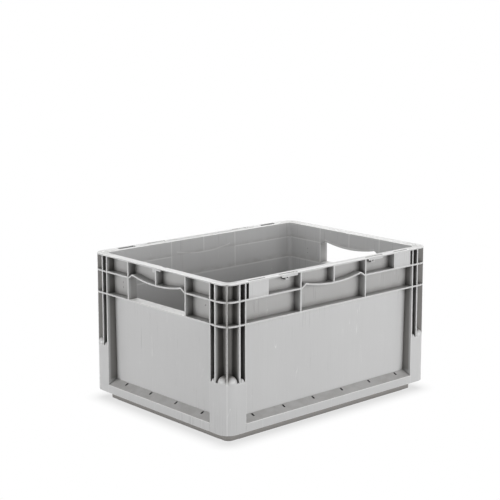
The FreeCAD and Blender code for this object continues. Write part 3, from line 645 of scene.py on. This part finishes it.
@dataclass(frozen=True)
class EdgeRounding:
    """How the moulded edges are rounded, and which edges are left alone."""

    width: float = 0.4 * MM
    segments: int = 2
    sharp: float = math.radians(38.0)
    crease: float = math.radians(50.0)
    flat: float = math.radians(0.5)
    probe: float = 0.3 * MM
    samples: int = 5
    inner_corners: bool = True

    def soften(self, part: Moulding, neighbours: list[Moulding]) -> bpy.types.Mesh:
        """Rounds a part's sharp edges, apart from those where it runs into another part.

        Args:
            part: the part.
            neighbours: parts that may touch it.

        Returns:
            The finished mesh, with the rounded edges marked for the pale edge colour, which is partly
            scuffing and partly painted highlight.
        """
        shape = part.mesh.copy()
        bmesh.ops.join_triangles(
            shape,
            faces=shape.faces,
            angle_face_threshold=self.flat,
            angle_shape_threshold=math.pi,
        )
        shape.faces.layers.float.new(ROUNDED_EDGE)
        shape.faces.layers.int.new(FACE_STRENGTH)
        edges = [edge for edge in shape.edges if self._is_sharp(edge) and not self._joins(edge, neighbours)]
        before = len(shape.faces)
        made = bmesh.ops.bevel(
            shape,
            geom=edges,
            offset=self.width,
            offset_type="OFFSET",
            segments=self.segments,
            profile=0.5,
            affect="EDGES",
            material=-1,
            clamp_overlap=False,
            loop_slide=True,
        )
        rounded_edge_mark, strength = shape.faces.layers.float[ROUNDED_EDGE], shape.faces.layers.int[FACE_STRENGTH]
        for face in shape.faces:
            face[strength] = STRONG
        # the rounded faces carry the mark that the finish paints pale, partly as painted highlight
        for face in made["faces"]:
            face[rounded_edge_mark] = 1.0
            face[strength] = WEAK
        bmesh.ops.dissolve_degenerate(shape, edges=shape.edges, dist=2 * MERGE)
        for face in shape.faces:
            face.smooth = True
        for edge in shape.edges:
            edge.smooth = len(edge.link_faces) == 2 and edge.calc_face_angle(0.0) < self.crease
        mesh = bpy.data.meshes.new(part.name)
        LOG.info("%s: %d edges rounded, %d faces were %d", part.name, len(edges), len(shape.faces), before)
        shape.to_mesh(mesh)
        shape.free()
        return mesh

    def _is_sharp(self, edge: bmesh.types.BMEdge) -> bool:
        """Whether an edge is one to round: outward, or inward too where inner corners are wanted."""
        if len(edge.link_faces) != 2:
            return False
        turn = edge.calc_face_angle_signed(0.0)
        return turn > self.sharp or (self.inner_corners and turn < -self.sharp)

    def _joins(self, edge: bmesh.types.BMEdge, neighbours: list[Moulding]) -> bool:
        """Whether an edge mostly lies where the moulding carries on into a neighbour.

        Args:
            edge: the edge.
            neighbours: parts that may touch it.

        Returns:
            True where rounding the edge would cut a groove in the moulding.
        """
        first, second = (face.normal for face in edge.link_faces)
        start, end = (corner.co for corner in edge.verts)
        hits = 0
        for index in range(self.samples):
            point = start.lerp(end, (index + 0.5) / self.samples)
            offsets = (first + second, first - second, second - first)
            probes = [point + offset * self.probe for offset in offsets]
            if any(other.holds(probe) for other in neighbours for probe in probes):
                hits += 1
        return hits * 2 > self.samples


# ---------------------------------------------------------------- sub-assemblies
class Corner(Enum):
    """The crate's four corners."""

    FRONT_LEFT = "front_left"
    FRONT_RIGHT = "front_right"
    BACK_LEFT = "back_left"
    BACK_RIGHT = "back_right"


@dataclass
class CratePart:
    """A sub-assembly of the moulding: softened copies of some nodes in one finish."""

    finish: bpy.types.Material
    rounding: EdgeRounding = EdgeRounding()
    nodes: tuple[str, ...] = ()

    def build(self, mouldings: dict[str, Moulding]) -> list[bpy.types.Object]:
        """Makes, dresses and places every piece.

        Args:
            mouldings: all parts by name, for the contact tests.

        Returns:
            The pieces.
        """
        pieces = []
        for name in self.nodes:
            part = mouldings[name]
            others = [other for other in mouldings.values() if other is not part]
            near = [other for other in others if other.touches_box(part, 1 * MM)]
            mesh = self.rounding.soften(part, near)
            piece = bpy.data.objects.new("crate_" + name, mesh)
            bpy.context.scene.collection.objects.link(piece)
            self._dress(piece)
            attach(piece, BODY)
            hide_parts(name)
            pieces.append(piece)
        LOG.info("%s: %d pieces", type(self).__name__, len(pieces))
        return pieces

    def _dress(self, piece: bpy.types.Object) -> None:
        """Gives a piece its finish, and normals that keep its flat faces flat."""
        piece.data.materials.clear()
        piece.data.materials.append(self.finish)
        weighted = piece.modifiers.new("flat_faces", "WEIGHTED_NORMAL")
        weighted.keep_sharp = True
        weighted.use_face_influence = True
        weighted.weight = 50


@dataclass
class Tub(CratePart):
    """The thin tapered tub: floor, lattice and four walls. No edge of it is rounded."""

    rounding: EdgeRounding = EdgeRounding(sharp=CRISP)
    nodes: tuple[str, ...] = (
        "floor_panel",
        "underside_ribs",
        "front_wall",
        "back_wall",
        "left_end_wall",
        "right_end_wall",
    )


@dataclass
class CornerPosts(CratePart):
    """The four ribbed posts with their closed, domed feet."""

    rounding: EdgeRounding = EdgeRounding(width=0.32 * MM, inner_corners=False)
    nodes: tuple[str, ...] = tuple("corner_post_" + corner.value for corner in Corner)


@dataclass
class RimBand(CratePart):
    """The rim with the ribs, grips, handles and label pads under it."""

    nodes: tuple[str, ...] = (
        "top_rim",
        "upper_band_ribs",
        "lower_band_ribs",
        "front_grip",
        "back_grip",
        "left_handle",
        "right_handle",
        *("label_pad_" + corner.value for corner in Corner),
    )


@dataclass
class Skirt(CratePart):
    """The drained ledge and the skirt below it, one length for each side."""

    nodes: tuple[str, ...] = ("front_skirt", "back_skirt", "left_skirt", "right_skirt")


# ---------------------------------------------------------------- studio
@dataclass(frozen=True)
class Lamp:
    """A rectangular light that looks at the crate."""

    name: str
    place: tuple[float, float, float]
    width: float
    height: float
    power: float

    def light(self, target: Vector) -> bpy.types.Object:
        """Makes the light.

        Args:
            target: the point it faces.

        Returns:
            The light's object.
        """
        data = bpy.data.lights.new(self.name, "AREA")
        data.shape = "RECTANGLE"
        data.size, data.size_y = self.width, self.height
        data.energy = self.power
        lamp = bpy.data.objects.new(self.name, data)
        bpy.context.scene.collection.objects.link(lamp)
        lamp.location = self.place
        lamp.rotation_mode = "QUATERNION"
        lamp.rotation_quaternion = (target - lamp.location).to_track_quat("-Z", "Y")
        return lamp


@dataclass
class Studio:
    """A pale floor, soft light from above and both sides, a small key light, and the camera."""

    target: Vector = field(default_factory=lambda: Vector((0.0, 0.0, 0.1)))
    floor_reach: float = 6.0
    floor_drop: float = 0.2 * MM
    ambient: float = 0.1
    lens: float = 95.735
    sensor: float = 36.0
    shift: float = -0.1
    camera_place: tuple[float, float, float] = (-1.3025, -1.4276, 0.6102)
    yaw: float = 41.84
    pitch: float = 9.321
    clip: tuple[float, float] = (0.05, 50.0)
    lamps: tuple[Lamp, ...] = (
        Lamp("overhead_light", (0.5, 0.5, 1.25), 1.1, 1.1, 15.0),
        Lamp("key_light", (-0.42, -0.4, 1.45), 0.16, 0.16, 2.6),
        Lamp("right_light", (0.3, -1.7, 0.42), 1.6, 0.84, 24.0),
        Lamp("left_light", (-1.75, 0.3, 0.4), 1.5, 0.8, 20.5),
    )

    def build(self) -> None:
        """Makes the floor, the lights, the surroundings and the camera."""
        self._floor()
        self._surroundings()
        for lamp in self.lamps:
            lamp.light(self.target)
        self._camera()
        bpy.context.scene.view_settings.view_transform = "Standard"
        LOG.info("studio: %d lights", len(self.lamps))

    def _floor(self) -> None:
        """Lays the floor just under the foot."""
        sheet = bmesh.new()
        bmesh.ops.create_grid(sheet, x_segments=1, y_segments=1, size=self.floor_reach)
        bmesh.ops.translate(sheet, verts=sheet.verts, vec=(0.0, 0.0, -self.floor_drop))
        mesh = bpy.data.meshes.new("studio_floor")
        sheet.to_mesh(mesh)
        sheet.free()
        floor = bpy.data.objects.new("studio_floor", mesh)
        bpy.context.scene.collection.objects.link(floor)
        mesh.materials.append(StudioFloor().material())

    def _surroundings(self) -> None:
        """Plain white all round to look at, and a softer even light on the crate."""
        world = bpy.data.worlds.new("studio_world")
        bpy.context.scene.world = world
        sheet = NodeSheet(world)
        strength = sheet.open_to_background() * (1.0 - self.ambient) + self.ambient
        white = sheet.add("ShaderNodeBackground", None, {"Color": WHITE, "Strength": strength})
        sheet.add("ShaderNodeOutputWorld", None, {"Surface": white.out()})

    def _camera(self) -> None:
        """Sets the camera at the near corner, a little above the rim."""
        data = bpy.data.cameras.new("camera")
        data.sensor_width = self.sensor
        data.lens = self.lens
        data.shift_y = self.shift
        data.clip_start, data.clip_end = self.clip
        camera = bpy.data.objects.new("camera", data)
        bpy.context.scene.collection.objects.link(camera)
        camera.location = self.camera_place
        camera.rotation_euler = (math.radians(90.0 - self.pitch), 0.0, -math.radians(self.yaw))
        bpy.context.scene.camera = camera


def main() -> None:
    """Builds the crate's looks and the studio."""
    logging.basicConfig(level=logging.INFO, format="%(name)s: %(message)s")
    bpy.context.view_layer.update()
    finish = GreyPolypropylene().material()
    mouldings = {name: Moulding(name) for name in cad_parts}
    for part in (Tub(finish), CornerPosts(finish), RimBand(finish), Skirt(finish)):
        part.build(mouldings)
    for moulding in mouldings.values():
        moulding.mesh.free()
    Studio().build()
    bpy.context.view_layer.update()


if __name__ == "__main__":
    main()
